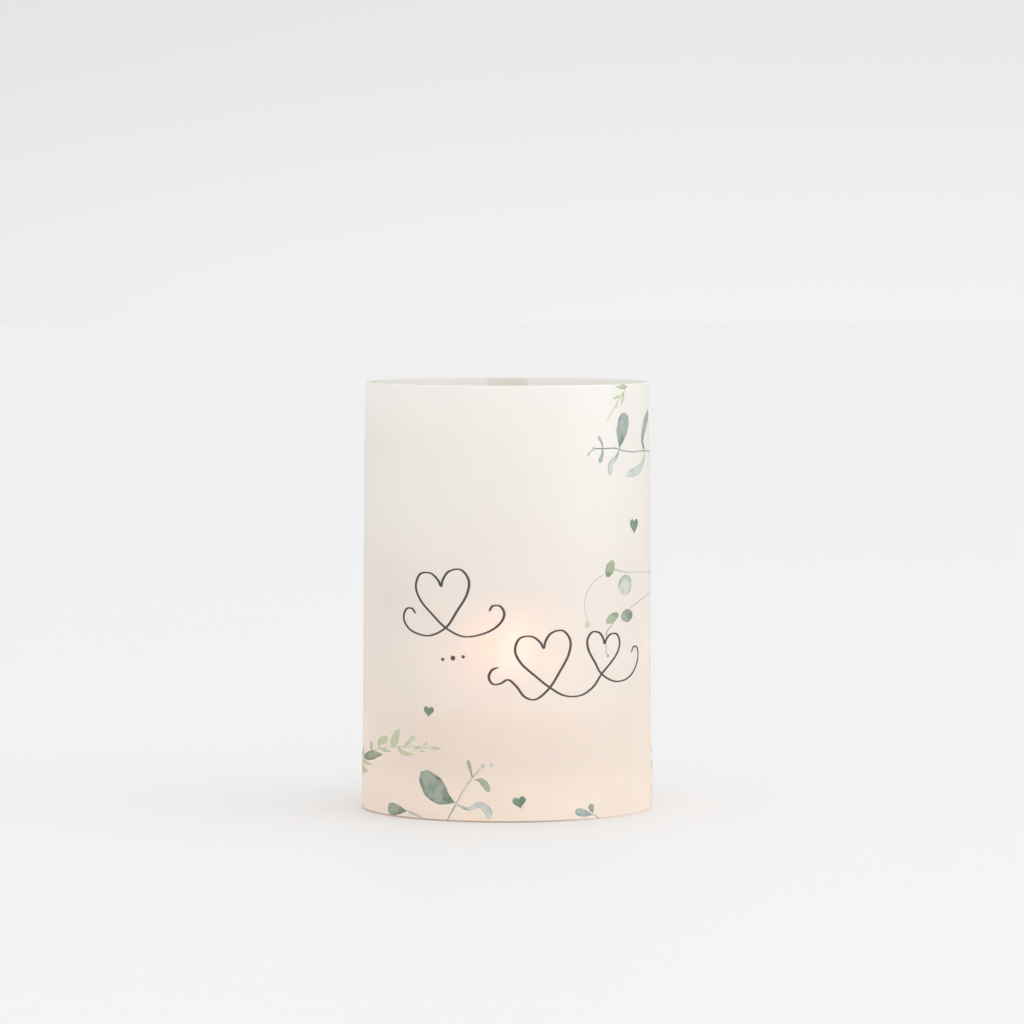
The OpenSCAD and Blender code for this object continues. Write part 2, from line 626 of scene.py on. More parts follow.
@dataclass(frozen=True)
class ClearFilm(Finish):
    """Adhesive film that shows only as a slightly wetter strip through the lap."""

    def surface(self, graph: Graph, place: Socket) -> Socket:
        """Returns the shader."""
        cloud, _ = mottled(graph, place, 400.0)
        solid = graph.principled({"Base Color": (0.9, 0.89, 0.84),
                                  "Roughness": graph.math("MULTIPLY_ADD", cloud, 0.2, 0.25)})
        return graph.mixed(0.55, solid, graph.clear())


@dataclass(frozen=True)
class PaleSurface(Finish):
    """The plain pale floor."""

    colour: Colour = (0.905, 0.905, 0.902)

    def surface(self, graph: Graph, place: Socket) -> Socket:
        """Returns the shader."""
        cloud, _ = mottled(graph, place, 1.5, 300.0)
        tone = graph.scaled(self.colour, graph.math("MULTIPLY_ADD", cloud, 0.01, 1.0))
        return graph.principled({"Base Color": tone, "Roughness": 0.55, "Specular IOR Level": 0.2})


# ---------------------------------------------------------------------------
# Paper sleeve
# ---------------------------------------------------------------------------

@dataclass
class PaperSleeve:
    """The vellum sheet, rolled into a slightly conical tube and taped at the back."""

    body: str = "sleeve"
    node: str = "paper_sleeve"
    sheet_length: float = 297 * MM
    thickness: float = 0.2 * MM
    narrowing: float = 1.11 * MM
    tape: float = 0.1 * MM
    ramp: float = 4 * MM
    step: float = 0.4 * MM
    unevenness: float = 0.35 * MM
    columns: int = 481
    rows: int = 29
    height: float = field(init=False)
    foot_radius: float = field(init=False)
    top_radius: float = field(init=False)

    def __post_init__(self) -> None:
        """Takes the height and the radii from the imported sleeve."""
        low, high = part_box(self.node)
        self.height = high[2] - low[2]
        self.foot_radius = -low[0] - self.thickness / 2
        self.top_radius = self.foot_radius - self.narrowing

    def radius(self, tree: Recipe, up: Socket) -> Socket:
        """Returns the tube's radius at a height."""
        ends = tree.input("Foot Radius"), tree.input("Top Radius")
        return tree.ramp(up, 0.0, tree.input("Height"), *ends, smooth=False)

    def rolled(self, tree: Recipe, along: Socket, up: Socket, out: Feed) -> Socket:
        """Adds the rule by which a place on the flat sheet goes to its place on the tube.

        Args:
            tree: the tree, with inputs for the height, the two radii and the unevenness.
            along: distance along the sheet from the middle of the front.
            up: height on the sheet.
            out: how far the place lies outside the middle of the sheet.

        Returns:
            The place on the tube.
        """
        radius = self.radius(tree, up)
        angle = tree.math("DIVIDE", along, radius)
        sine, cosine = tree.math("SINE", angle), tree.math("COSINE", angle)
        around = tree.join(cosine, sine, tree.math("MULTIPLY", up, 9.0))
        wave = tree.math("SUBTRACT", tree.noise(around, 0.9, 1.0), 0.5)
        swell = tree.math("MULTIPLY", wave, tree.input("Unevenness"))
        radius = tree.math("ADD", tree.math("ADD", radius, out), swell)
        towards = tree.math("MULTIPLY", cosine, -1.0)
        return tree.join(tree.math("MULTIPLY", radius, sine), tree.math("MULTIPLY", radius, towards), up)

    def recipe(self) -> Recipe:
        """Builds the tree that rolls a flat sheet.

        Returns:
            The tree. It makes the middle surface of the sheet, with its faces outwards.
        """
        roll = Recipe("roll_sheet", Length=float, Height=float, Foot_Radius=float, Top_Radius=float,
                      Lap_Lift=float, Ramp=float, Unevenness=float, Columns=int, Rows=int,
                      Paper=bpy.types.Material)
        length, height = roll.input("Length"), roll.input("Height")
        sheet = roll.node("GeometryNodeMeshGrid", {
            "Size X": length, "Size Y": height,
            "Vertices X": roll.input("Columns"), "Vertices Y": roll.input("Rows")}).outputs[0]
        along, up, _ = roll.position()
        up = roll.math("MULTIPLY_ADD", height, 0.5, up)
        round_length = roll.math("MULTIPLY", self.radius(roll, up), TURN)
        first_edge = roll.math("MULTIPLY_ADD", length, -0.5, round_length)
        lap = roll.ramp(along, roll.math("SUBTRACT", first_edge, roll.input("Ramp")),
                        roll.math("SUBTRACT", first_edge, self.step), 0.0, roll.input("Lap Lift"))
        place = self.rolled(roll, along, up, lap)
        rolled = roll.value("GeometryNodeSetPosition", {"Geometry": sheet, "Position": place})
        roll.close(rolled, roll.input("Paper"))
        return roll

    def build(self, paper: Finish, film: Finish) -> list[bpy.types.Object]:
        """Builds the sheet and dresses the tape.

        Args:
            paper: finish of the sheet.
            film: finish of the tape.

        Returns:
            The new pieces.
        """
        sheet = object_named("vellum_sheet", bpy.data.meshes.new("vellum_sheet"))
        self.recipe().run(sheet, Length=self.sheet_length, Height=self.height, Foot_Radius=self.foot_radius,
                          Top_Radius=self.top_radius, Lap_Lift=self.thickness + self.tape, Ramp=self.ramp,
                          Unevenness=self.unevenness, Columns=self.columns, Rows=self.rows,
                          Paper=paper.material())
        wall = sheet.modifiers.new("thickness", "SOLIDIFY")
        wall.thickness = self.thickness
        wall.offset = 0.0
        wall.use_quality_normals = True
        sheet = baked(sheet)
        sheet.data.set_sharp_from_angle(angle=math.radians(50))
        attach(sheet, self.body)
        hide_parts(self.node)
        dress(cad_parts["seam_tape"], film)
        return [sheet]


def dress(node: bpy.types.Object, finish: Finish) -> None:
    """Gives a carried-over node its finish.

    Args:
        node: the node's object.
        finish: the finish that its material is made from.
    """
    material = finish.material()
    for place in node.material_slots:
        place.material = material


# ---------------------------------------------------------------------------
# Print on the sleeve
# ---------------------------------------------------------------------------

class LeafShape(Enum):
    """Outline of a painted leaf."""

    TEARDROP = "teardrop"
    CLUB = "club"
    ROUND = "round"
    LANCE = "lance"

    def half_width(self, share: float) -> float:
        """Returns the half width, up to 1, at a share of the length from the base."""
        if self is LeafShape.TEARDROP:
            swell = math.sin(math.pi / 2 * min(1.0, share / 0.7)) ** 1.35
            return swell * math.sqrt(max(0.0, 1 - max(0.0, (share - 0.7) / 0.3) ** 2))
        if self is LeafShape.CLUB:
            swell = 0.28 + 0.72 * min(1.0, share / 0.7) ** 1.3
            return swell * math.sqrt(max(0.0, 1 - max(0.0, (share - 0.78) / 0.22) ** 2))
        if self is LeafShape.ROUND:
            return math.sqrt(max(0.0, 1 - (2 * share - 1) ** 2))
        return math.sin(math.pi * share ** 0.8) ** 0.9


class Pigment(Enum):
    """Washes that the leaves are painted in: a light tone and a deep one."""

    TEAL = ((0.35, 0.42, 0.39), (0.12, 0.19, 0.16))
    PALE = ((0.58, 0.615, 0.565), (0.25, 0.33, 0.285))
    DEEP = ((0.33, 0.38, 0.31), (0.07, 0.13, 0.08))
    OLIVE = ((0.36, 0.42, 0.29), (0.15, 0.21, 0.12))
    LIME = ((0.55, 0.61, 0.41), (0.34, 0.43, 0.24))
    TWIG = ((0.52, 0.54, 0.48), (0.27, 0.29, 0.24))
    HEART = ((0.19, 0.27, 0.21), (0.12, 0.19, 0.14))
    INK = ((0.088, 0.076, 0.066), (0.055, 0.047, 0.041))


@dataclass(frozen=True)
class Leaf:
    """One painted leaf: the points of its midrib, in millimetres on the sheet, and its width."""

    midrib: tuple[Point2, ...]
    width: float
    shape: LeafShape = LeafShape.LANCE
    pigment: Pigment = Pigment.LIME


@dataclass(frozen=True)
class Line:
    """One drawn line: its points, in millimetres on the sheet, and its width.

    Its ends thin out over the share taper, and pressure says how much its upright strokes are thicker.
    """

    points: tuple[Point2, ...]
    width: float = 0.3
    pigment: Pigment = Pigment.TWIG
    taper: float = 0.15
    pressure: float = 0.0


@dataclass(frozen=True)
class Sprig:
    """A painted sprig: lines, leaves and buds, the last as (along, up, radius, pigment)."""

    lines: tuple[Line, ...]
    leaves: tuple[Leaf, ...]
    buds: tuple[tuple[float, float, float, Pigment], ...] = ()


@dataclass(frozen=True)
class Placing:
    """Where a drawing is put on the sheet, and whether it is mirrored."""

    along: float = 0.0
    up: float = 0.0
    mirrored: bool = False

    def move(self, point: Point2) -> Point2:
        """Returns a point of the drawing at its place on the sheet."""
        return (self.along + (-point[0] if self.mirrored else point[0]), self.up + point[1])


def turned(centre: Point2, step: Point2, tilt: float) -> Point2:
    """Returns the point one step from a centre, with the step turned by a tilt in degrees."""
    cosine, sine = math.cos(math.radians(tilt)), math.sin(math.radians(tilt))
    return (centre[0] + step[0] * cosine - step[1] * sine, centre[1] + step[0] * sine + step[1] * cosine)


def through(points: Sequence[Point2], steps: int = 8) -> list[Point2]:
    """Returns a smooth line through points.

    Args:
        points: the points that it goes through.
        steps: how many straight pieces there are between two of them.

    Returns:
        The line's points.
    """
    if len(points) < 3:
        return [points[0], *between(points[0], points[-1], steps), points[-1]]
    ends = [(2 * points[0][0] - points[1][0], 2 * points[0][1] - points[1][1]), *points,
            (2 * points[-1][0] - points[-2][0], 2 * points[-1][1] - points[-2][1])]
    line = []
    for a, b, c, d in zip(ends, ends[1:], ends[2:], ends[3:]):
        for i in range(steps):
            t = i / steps
            line.append(tuple(0.5 * (2 * q + (r - p) * t + (2 * p - 5 * q + 4 * r - s) * t * t
                                     + (3 * q - p - 3 * r + s) * t ** 3) for p, q, r, s in zip(a, b, c, d)))
    return line + [points[-1]]


STACK_STEP = 0.012
"""How much further out one layer of print lies than another, in millimetres."""


class FlatPrint:
    """Collects flat shapes of one pigment, which are then laid on the rolled sheet."""

    LEAST = 0.004
    """The least half width, in millimetres."""
    LINE_END = 0.35
    """How wide a line still is at its ends."""

    def __init__(self, name: str) -> None:
        """Starts an empty print.

        Args:
            name: the name of the piece that it becomes.
        """
        self.name = name
        self.form = bmesh.new()
        self.map = self.form.loops.layers.uv.new("UVMap")
        self.layer = 0

    def strip(self, rib: Sequence[Point2], half: Sequence[float], across: int = 6,
              climb: float = 0.0) -> None:
        """Adds a strip with a width that changes along it.

        Args:
            rib: its middle line, in millimetres.
            half: its half width at each point.
            across: how many faces it has from side to side.
            climb: how much further out its end lies than its start, so that it can cross itself.
        """
        self.layer += 1
        base = STACK_STEP * (self.layer % 7)
        rows = []
        count = len(rib) - 1
        for i, (along, up) in enumerate(rib):
            before, after = rib[max(0, i - 1)], rib[min(count, i + 1)]
            dx, dz = after[0] - before[0], after[1] - before[1]
            size = math.hypot(dx, dz) or 1.0
            out = base + climb * i / count
            sides = [(2 * j / across - 1) * max(half[i], self.LEAST) for j in range(across + 1)]
            rows.append([self.form.verts.new(((along - dz / size * side) * MM, out * MM,
                                              (up + dx / size * side) * MM)) for side in sides])
        for i, (low, high) in enumerate(zip(rows, rows[1:])):
            for j in range(across):
                face = self.form.faces.new((low[j], low[j + 1], high[j + 1], high[j]))
                spots = ((j, i), (j + 1, i), (j + 1, i + 1), (j, i + 1))
                for loop, (s, t) in zip(face.loops, spots):
                    loop[self.map].uv = (s / across, t / count)

    def line(self, line: Line, placing: Placing) -> None:
        """Adds a drawn line with rounded, thinned ends."""
        rib = through([placing.move(point) for point in line.points])
        count = len(rib) - 1
        half = []
        for i in range(count + 1):
            near = min(i, count - i) / count
            before, after = rib[max(0, i - 1)], rib[min(count, i + 1)]
            steep = abs(after[1] - before[1]) / (math.dist(before, after) or 1.0)
            weight = 1 + line.pressure * (steep - 0.5)
            swell = min(1.0, near / line.taper) ** 0.5
            half.append(line.width / 2 * weight * (self.LINE_END + (1 - self.LINE_END) * swell))
        self.strip(rib, half, across=2, climb=0.05)

    def leaf(self, leaf: Leaf, placing: Placing) -> None:
        """Adds a painted leaf with a slightly uneven edge."""
        rib = through([placing.move(point) for point in leaf.midrib], steps=16 if len(leaf.midrib) < 3 else 8)
        count = len(rib) - 1
        wave = sum(leaf.midrib[0])
        half = [leaf.width / 2 * leaf.shape.half_width(i / count)
                * (1 + 0.05 * math.sin(9 * i / count + wave) + 0.03 * math.sin(23 * i / count + 2 * wave))
                for i in range(count + 1)]
        self.strip(rib, half)

    def dot(self, centre: Point2, radius: float, placing: Placing) -> None:
        """Adds a painted dot."""
        along, up = placing.move(centre)
        rib = [(along - radius * math.cos(math.pi * i / 12), up) for i in range(13)]
        self.strip(rib, [radius * math.sin(math.pi * i / 12) for i in range(13)], across=4)

    def heart(self, centre: Point2, width: float, tilt: float) -> None:
        """Adds a small heart.

        Args:
            centre: its middle, in millimetres.
            width: its width.
            tilt: how far it leans, in degrees.
        """
        self.layer += 1
        steps, rings, curve_width = 48, 4, 32
        loops = []
        for ring in range(1, rings + 1):
            loop = []
            reach = ring / rings
            for i in range(steps):
                t = TURN * i / steps
                x = 16 * math.sin(t) ** 3
                z = 13 * math.cos(t) - 5 * math.cos(2 * t) - 2 * math.cos(3 * t) - math.cos(4 * t) + 2
                step = (x * reach * width / curve_width, z * reach * width / curve_width)
                along, up = turned(centre, step, tilt)
                loop.append((self.form.verts.new((along * MM, 0.0, up * MM)), reach))
            loops.append(loop)
        middle = self.form.verts.new((centre[0] * MM, 0.0, centre[1] * MM))
        for i in range(steps):
            j = (i + 1) % steps
            corners = [(middle, 0.0), loops[0][i], loops[0][j]]
            self.facet(corners, i / steps)
            for inner, outer in zip(loops, loops[1:]):
                self.facet([inner[i], outer[i], outer[j], inner[j]], i / steps)

    def facet(self, corners: Sequence[tuple[Any, float]], turn: float) -> None:
        """Adds one face, with how near the edge each corner is in its map."""
        face = self.form.faces.new([vertex for vertex, _ in corners])
        for loop, (_, reach) in zip(face.loops, corners):
            loop[self.map].uv = (0.5 + reach / 2, turn)

    def finish(self) -> bpy.types.Object:
        """Returns the flat print as an object, with its faces towards the reader of the sheet."""
        bmesh.ops.recalc_face_normals(self.form, faces=self.form.faces)
        for face in self.form.faces:
            face.normal_update()
            if face.normal.y < 0:
                face.normal_flip()
        mesh = bpy.data.meshes.new(self.name)
        self.form.to_mesh(mesh)
        self.form.free()
        return object_named(self.name, mesh)


@dataclass(frozen=True)
class Watercolour(Finish):
    """Thin paint on the paper: paler in the middle, deeper at its edge and where it pooled."""

    pigment: Pigment = Pigment.TEAL
    cover: float = 0.86
    blotches: float = 2.4
    pooling: float = 0.35
    settling: float = 0.6
    thinning: float = 0.5
    faint_rim: float = 0.25

    def surface(self, graph: Graph, place: Socket) -> Socket:
        """Returns the shader."""
        light, deep = self.pigment.value
        across, along, _ = graph.split(graph.value("ShaderNodeUVMap", uv_map="UVMap"))
        edge = graph.math("ABSOLUTE", graph.math("MULTIPLY_ADD", across, 2.0, -1.0))
        pooled = graph.ramp(edge, 0.55, 1.0)
        base = graph.ramp(along, 0.55, 0.0)
        cloud, fibre = mottled(graph, place, 420.0, 2600.0)
        wet = graph.math("MULTIPLY_ADD", cloud, self.blotches, graph.math("MULTIPLY", pooled, self.pooling))
        depth = graph.math("ADD", graph.math("MULTIPLY_ADD", base, self.settling, wet), 0.12)
        tone = graph.blend(graph.ramp(depth, 0.0, 1.0, smooth=False), light, deep)
        grain = graph.math("MULTIPLY_ADD", fibre, 0.14, self.cover - 0.07)
        cover = graph.math("MULTIPLY_ADD", cloud, self.thinning, grain)
        cover = graph.math("MULTIPLY", cover, graph.ramp(edge, 1.0, 0.86, self.faint_rim, 1.0))
        paint = graph.principled({"Base Color": tone, "Roughness": 0.6, "Specular IOR Level": 0.3})
        return graph.mixed(graph.ramp(cover, 0.0, 1.0, smooth=False), graph.clear(), paint)


L = LeafShape
P = Pigment

BRANCH = Sprig(
    lines=(
        Line(((27, 114.5), (29, 116), (32.5, 116), (38, 116), (40, 115.5), (43, 115), (48, 114.5),
              (57, 114.5), (66, 114), (76, 113), (86, 113.5)), 0.42, P.TEAL, 0.3),
        Line(((44, 135.5), (42.5, 133.5), (40.5, 132), (39, 130), (37, 128), (34, 124)), 0.3, P.LIME),
        Line(((72, 113.5), (74, 117), (78, 120.5)), 0.35, P.TEAL),
    ),
    leaves=(
        Leaf(((44.6, 135.1), (38.2, 135.2)), 1.5),
        Leaf(((42.6, 133.4), (41, 129.4)), 1.3),
        Leaf(((40.6, 132.3), (36.6, 131.3)), 0.9),
        Leaf(((39.4, 131), (38.2, 128.2)), 0.8),
        Leaf(((32.6, 116), (32.2, 117.8), (30.6, 120)), 1.0, L.CLUB, P.TEAL),
        Leaf(((32.6, 116), (32.3, 114), (31.2, 111.5)), 1.6, L.CLUB, P.TEAL),
        Leaf(((40, 115.3), (41.4, 121), (43.5, 127)), 6.2, L.TEARDROP, P.TEAL),
        Leaf(((40, 115.1), (38.6, 113), (36.2, 111.3), (35.6, 107.4)), 2.2, L.CLUB, P.PALE),
        Leaf(((57, 115), (55.4, 118.2), (58, 122.5), (64, 127)), 4.0, L.CLUB, P.TEAL),
        Leaf(((57.6, 114.5), (57, 111.8), (52, 108.8), (43.4, 107.3)), 2.9, L.CLUB, P.PALE),
        Leaf(((78, 120.5), (80, 125), (86, 129)), 5.0, L.TEARDROP, P.TEAL),
        Leaf(((72, 113.5), (73.5, 109), (79, 105)), 4.2, L.TEARDROP, P.PALE),
        Leaf(((84, 113.5), (88, 117), (94, 118)), 3.4, L.TEARDROP, P.DEEP),
        Leaf(((86, 113.5), (90, 111), (93, 107)), 2.8, L.CLUB, P.TEAL),
    ),
    buds=((27, 114.4, 0.5, P.PALE), (28.9, 116, 0.6, P.PALE)),
)

TENDRIL = Sprig(
    lines=(
        Line(((36.5, 78.2), (39.5, 77.6), (41.7, 77.1), (45.5, 76.7), (53, 76.3), (67.5, 75.5), (76, 77)),
             0.28),
        Line(((33, 76.7), (29.5, 75), (27.8, 73.3), (26, 70.7), (25.4, 67), (26.2, 63.2), (26.6, 61.8)),
             0.2, P.LIME),
        Line(((76, 74), (67, 70), (53, 67.5), (44.7, 65)), 0.28, P.TWIG),
        Line(((37.5, 61.3), (34.5, 58.8), (34, 56), (34, 52.3), (34.7, 51.2)), 0.3, P.TEAL),
    ),
    leaves=(
        Leaf(((34.2, 75.8), (37.2, 80.8)), 3.6, L.ROUND, P.OLIVE),
        Leaf(((42.5, 76), (43.8, 69.6)), 7.2, L.ROUND, P.PALE),
        Leaf(((39.6, 64), (33.9, 61.5)), 2.9, L.ROUND, P.OLIVE),
        Leaf(((47.4, 63.2), (40.8, 63)), 4.0, L.ROUND, P.DEEP),
        Leaf(((76, 77), (82, 80)), 4.4, L.ROUND, P.OLIVE),
        Leaf(((76, 74), (81, 71)), 4.8, L.ROUND, P.PALE),
    ),
    buds=((26.6, 61.2, 0.9, P.LIME), (34.8, 51, 0.45, P.TEAL)),
)

FERN = Sprig(
    lines=(
        Line(((-84, 9), (-76, 11.5), (-68, 14.5), (-54.5, 19.4), (-48, 20.8), (-41.4, 21.9), (-34.6, 22.5),
              (-28.3, 22.7), (-21.4, 22.7)), 0.32, P.LIME),
        Line(((-19.2, 0.15), (-16.1, 5.5), (-13.8, 9.7), (-10.9, 13.7), (-8, 17.2)), 0.5, P.TWIG),
        Line(((-33.7, 2.2), (-27.6, 0.5)), 0.8, P.PALE),
    ),
    leaves=(
        Leaf(((-82, 9.8), (-84, 15)), 3.4),
        Leaf(((-80, 10.2), (-74, 6)), 3.2),
        Leaf(((-73, 12.8), (-75, 18.5)), 3.6),
        Leaf(((-64, 16.5), (-67, 20.6)), 3.0),
        Leaf(((-54.5, 19.5), (-55, 23)), 2.6),
        Leaf(((-48.4, 20.8), (-48.6, 22.8), (-43.4, 24.6)), 2.6, L.CLUB, P.LIME),
        Leaf(((-48, 20.8), (-41.4, 20.4)), 1.3),
        Leaf(((-41.4, 21.9), (-37.6, 28)), 3.4),
        Leaf(((-35.6, 22.4), (-30.8, 25.9)), 1.7, L.CLUB, P.LIME),
        Leaf(((-38.6, 22.1), (-35.4, 20.4), (-30.8, 20.2)), 1.5),
        Leaf(((-31.2, 22), (-28.4, 22.8)), 1.1, L.CLUB, P.LIME),
        Leaf(((-28.8, 21.7), (-26.8, 21.4)), 0.5),
        Leaf(((-27.8, 23.3), (-25.6, 24.6)), 0.45),
        Leaf(((-25, 22.7), (-20.8, 22.6)), 0.8),
        Leaf(((-63.5, 16.6), (-54, 18.2), (-46, 19.1)), 3.0, L.LANCE, P.OLIVE),
        Leaf(((-66.5, 15.2), (-53.6, 15.1)), 1.1),
        Leaf(((-72, 12.6), (-57.6, 12.8)), 2.5),
        Leaf(((-16.2, 5.8), (-21.5, 8.2), (-28.6, 15)), 7.6, L.TEARDROP, P.DEEP),
        Leaf(((-10.8, 14), (-12.2, 19.5)), 1.3, L.CLUB, P.OLIVE),
        Leaf(((-10.2, 13.4), (-7.6, 12.8), (-5.4, 9.6)), 2.2, L.TEARDROP, P.OLIVE),
        Leaf(((-15.6, 5.3), (-12.2, 4.1), (-8.6, 5.5), (-5.9, 3.6), (-5.6, 0.9)), 2.4, L.CLUB, P.PALE),
        Leaf(((-33.8, 2.3), (-43.6, 2.4)), 4.0, L.TEARDROP, P.DEEP),
    ),
    buds=((-7.4, 17.6, 0.6, P.PALE), (-4.8, 17.9, 0.6, P.PALE)),
)

FOOT_LEAF = Sprig(
    lines=(Line(((31, 0.3), (28.5, 1.6)), 0.4, P.TWIG),),
    leaves=(
        Leaf(((28.8, 1.4), (22, 3)), 2.6, L.TEARDROP, P.TEAL),
        Leaf(((28.6, 1.8), (27.6, 5)), 2.2, L.TEARDROP, P.DEEP),
    ),
)

# Where each sprig is printed: the front first, then the same ones repeated towards the back.
SPRIGS = (
    (BRANCH, Placing()), (TENDRIL, Placing()), (FERN, Placing()), (FOOT_LEAF, Placing()),
    (BRANCH, Placing(-44, 0, True)), (TENDRIL, Placing(-50, -6, True)), (FERN, Placing(66, 0.5, True)),
)

# The small hearts: along and up on the sheet, width, all in millimetres, and lean in degrees.
HEARTS = ((-25.6, 34, 3.8, -4), (48.6, 91, 5.4, 0), (3.9, 6.2, 4.3, 10), (-88, 66, 4.2, 8), (86, 52, 4.2, -6),
          (118, 92, 4.0, 6), (-122, 34, 4.0, -8))


@dataclass(frozen=True)
class PenHeart:
    """A heart drawn with two pen strokes that cross at its tip."""

    tip: Point2
    size: float
    tilt: float

    LOBE = ((0, 0), (3.3, 3.6), (6.2, 7.2), (7.2, 10.6), (5.6, 13.4), (2.6, 13.4), (0.7, 11.6), (0.1, 9.8))

    def half(self, side: int) -> list[Point2]:
        """Returns one half from the tip round to the cleft, the right one for 1 and the left one for -1."""
        return [turned(self.tip, (side * x * self.size, z * self.size), self.tilt) for x, z in self.LOBE]


def pen_lines() -> list[Line]:
    """Draws the pen ornament: a heart on a curled line, and two linked hearts below.

    Returns:
        The ornament's lines.
    """
    single = PenHeart((-19.5, 60.5), 1.3, 7)
    large = PenHeart((13.5, 42.0), 1.25, 9)
    small = PenHeart((32.0, 45.5), 0.95, -7)
    upper_start = [(-30.5, 64.5), (-32, 66), (-34.2, 65.9), (-35.5, 64), (-35, 61.4), (-31.8, 58.9),
                   (-25.5, 57.8)]
    upper_end = [(-13.5, 57.9), (-7, 59), (-2.6, 61.6), (-0.8, 64.8), (-1.9, 67.4), (-4.3, 67.6),
                 (-5.5, 65.9)]
    lower_start = [(-2.5, 48.5), (-4.6, 47.6), (-5.6, 45.4), (-4.4, 43.3), (-2, 43.4), (0.4, 44.6),
                   (2.9, 42.6), (5.6, 39.2), (9.2, 38.5)]
    link = [(18.5, 39.3), (24, 39.2), (28.6, 41.6)]
    lower_end = [(37.4, 42.9), (43.5, 43.2), (48, 45.6), (50.6, 49.3), (50.2, 52.4), (47.8, 53.1),
                 (46.2, 51.3)]
    strokes = [
        upper_start + single.half(1),
        single.half(-1)[::-1] + upper_end,
        lower_start + large.half(1),
        large.half(-1)[::-1] + link + small.half(1),
        small.half(-1)[::-1] + lower_end,
    ]
    return [Line(tuple(stroke), 0.68, P.INK, 0.04, 0.55) for stroke in strokes]


@dataclass
class SleevePrint:
    """The print: sprigs, hearts and the pen ornament, laid on the outside of the sleeve."""

    sleeve: PaperSleeve
    film: float = 0.02 * MM
    gap: float = 0.03 * MM
    leaf_cover: float = 0.86
    full_cover: float = 0.93

    def recipe(self) -> Recipe:
        """Builds the tree that rolls a flat print round the sleeve."""
        wrap = Recipe("wrap_print", Height=float, Foot_Radius=float, Top_Radius=float, Unevenness=float,
                      Lift=float, Paint=bpy.types.Material)
        along, out, up = wrap.position()
        place = self.sleeve.rolled(wrap, along, up, wrap.math("ADD", out, wrap.input("Lift")))
        geometry = wrap.given.outputs["Geometry"]
        laid = wrap.value("GeometryNodeSetPosition", {"Geometry": geometry, "Position": place})
        wrap.close(laid, wrap.input("Paint"))
        return wrap

    def draw(self) -> dict[Pigment, FlatPrint]:
        """Draws everything flat, one print for each pigment.

        Returns:
            The prints by pigment.
        """
        prints = {pigment: FlatPrint(f"print_{pigment.name.lower()}") for pigment in Pigment}
        for sprig, placing in SPRIGS:
            for line in sprig.lines:
                prints[line.pigment].line(line, placing)
            for leaf in sprig.leaves:
                prints[leaf.pigment].leaf(leaf, placing)
            for along, up, radius, pigment in sprig.buds:
                prints[pigment].dot((along, up), radius, placing)
        for along, up, width, tilt in HEARTS:
            prints[P.HEART].heart((along, up), width, tilt)
        for line in pen_lines():
            prints[P.INK].line(line, Placing())
        for number, radius in enumerate((0.55, 0.8, 0.55)):
            prints[P.INK].dot((-20.5 + 3.4 * number, 50.6 + 0.5 * number), radius, Placing())
        return prints

    def build(self) -> list[bpy.types.Object]:
        """Builds the printed pieces.

        Returns:
            One piece for each pigment.
        """
        wrap = self.recipe()
        made = []
        for number, (pigment, flat) in enumerate(self.draw().items()):
            cover = self.full_cover if pigment in (P.INK, P.HEART) else self.leaf_cover
            slot = "ink_print" if pigment is P.INK else "leaf_print"
            finish = Watercolour(f"paint_{pigment.name.lower()}", slot, pigment, cover)
            piece = flat.finish()
            wrap.run(piece, Height=self.sleeve.height, Foot_Radius=self.sleeve.foot_radius,
                     Top_Radius=self.sleeve.top_radius, Unevenness=self.sleeve.unevenness,
                     Lift=self.sleeve.thickness / 2 + self.gap + number * STACK_STEP * MM,
                     Paint=finish.material())
            wall = piece.modifiers.new("film", "SOLIDIFY")
            wall.thickness = self.film
            wall.offset = -1.0
            piece = baked(piece)
            piece.visible_shadow = False
            piece.visible_diffuse = False
            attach(piece, self.sleeve.body)
            made.append(piece)
        return made


# ---------------------------------------------------------------------------
# Glass holder
# ---------------------------------------------------------------------------

@dataclass
class GlassHolder:
    """A tumbler of pressed glass with a thick base."""

    body: str = "holder"
    node: str = "glass_holder"
    heel_radius: float = 31 * MM
    heel_round: float = 3 * MM
    foot_ring: float = 5 * MM
    hollow: float = 1.2 * MM
    wall: float = 2.4 * MM
    base: float = 12 * MM
    bore_heel: float = 28.6 * MM
    bore_round: float = 1.4 * MM

    def outline(self) -> list[Point2]:
        """Returns the section from the middle of the underside to the middle of the floor inside."""
        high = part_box(self.node)[1]
        rim, height, lip = high[0], high[2], self.wall / 2
        ring_inner = self.heel_radius - self.heel_round - self.foot_ring
        points = [(0.0, self.hollow), (ring_inner - 4 * MM, self.hollow)]
        points += arc((ring_inner - 0.6 * MM, 0.6 * MM), 0.6 * MM, 200, 270, 5)
        points += arc((self.heel_radius - self.heel_round, self.heel_round), self.heel_round, -90, 0)
        floor = self.base + self.bore_round
        points += between((self.heel_radius, self.heel_round), (rim, height - lip))
        points += arc((rim - lip, height - lip), lip, 0, 180, 14)
        points += between((rim - self.wall, height - lip), (self.bore_heel, floor))
        points += arc((self.bore_heel - self.bore_round, floor), self.bore_round, 0, -90, 6)
        points += [(self.bore_heel * share, self.base) for share in (0.7, 0.4)]
        return points + [(0.0, self.base)]

    def build(self, glass: Finish) -> list[bpy.types.Object]:
        """Builds the glass.

        Args:
            glass: its finish.

        Returns:
            The new pieces.
        """
        tumbler = revolved("glass_tumbler", self.outline(), glass.material(), segments=160)
        tumbler.visible_shadow = False
        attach(tumbler, self.body)
        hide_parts(self.node)
        return [tumbler]


# ---------------------------------------------------------------------------
# Tealight
# ---------------------------------------------------------------------------

